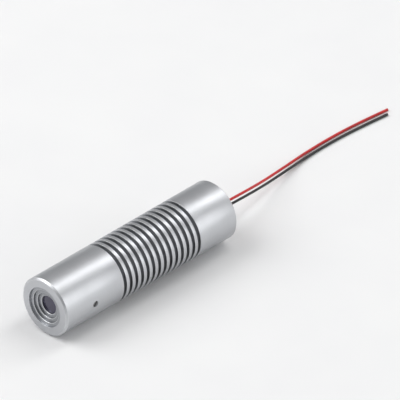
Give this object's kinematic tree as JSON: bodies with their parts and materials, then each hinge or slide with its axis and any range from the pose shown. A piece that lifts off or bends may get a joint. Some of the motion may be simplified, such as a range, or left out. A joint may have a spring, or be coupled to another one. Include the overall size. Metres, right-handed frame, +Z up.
{
  "type": "laser diode module",
  "caption": "Slim turned laser module with a grooved cooling band, stepped light outlet in front, side lock screw and a pair of insulated leads behind.",
  "frame": {"origin": "on the ground under the middle of the barrel's length", "axes": "+Y along the barrel's axis from the light outlet to the leads, +Z up, +X out of the side with the lock screw"},
  "size_m": [0.0173, 0.1293, 0.016],
  "materials": {
    "barrel_metal": "fine turned, clear anodised",
    "cell_metal": "turned, clear anodised",
    "inner_metal": "black anodised, matt",
    "optic_glass": "polished and coated",
    "screw_steel": "black oxide on turned steel",
    "spring_steel": "flat spring wire",
    "brass": "turned brass",
    "can_metal": "thin gold plate",
    "bead_glass": "fused glass",
    "chip_black": "moulded, matt",
    "board_green": "solder mask",
    "solder": "reflowed solder",
    "tantalum_yellow": "moulded",
    "ceramic_tan": "fired ceramic",
    "sleeve_film": "clear amber film",
    "plug_plastic": "turned plastic",
    "wire_core": "insulated wire with a tinned core",
    "lead_red": "extruded wire cover, satin",
    "lead_black": "extruded wire cover, satin"
  },
  "bodies": {
    "root": {"barrel": "barrel_metal", "lens_cell": "cell_metal", "front_window": "optic_glass", "window_spacer": "inner_metal", "collimating_lens": "optic_glass", "lens_retaining_ring": "inner_metal", "lock_screw": "screw_steel", "focus_spring": "spring_steel", "diode_block": "brass", "diode_clamp_ring": "brass", "diode_base": "can_metal", "diode_cap": "can_metal", "diode_window": "optic_glass", "laser_chip": "chip_black", "monitor_chip": "chip_black", "diode_pins": "can_metal", "pin_beads": "bead_glass", "driver_board": "board_green", "pin_solder": "solder", "regulator_chip": "chip_black", "power_transistor": "chip_black", "smoothing_capacitor": "tantalum_yellow", "resistors": "chip_black", "ceramic_capacitors": "ceramic_tan", "protection_diode": "chip_black", "board_sleeve": "sleeve_film", "rear_plug": "plug_plastic", "inner_leads": "wire_core", "lead_solder": "solder", "lead_positive": "lead_red", "lead_negative": "lead_black"}
  },
  "joints": []
}
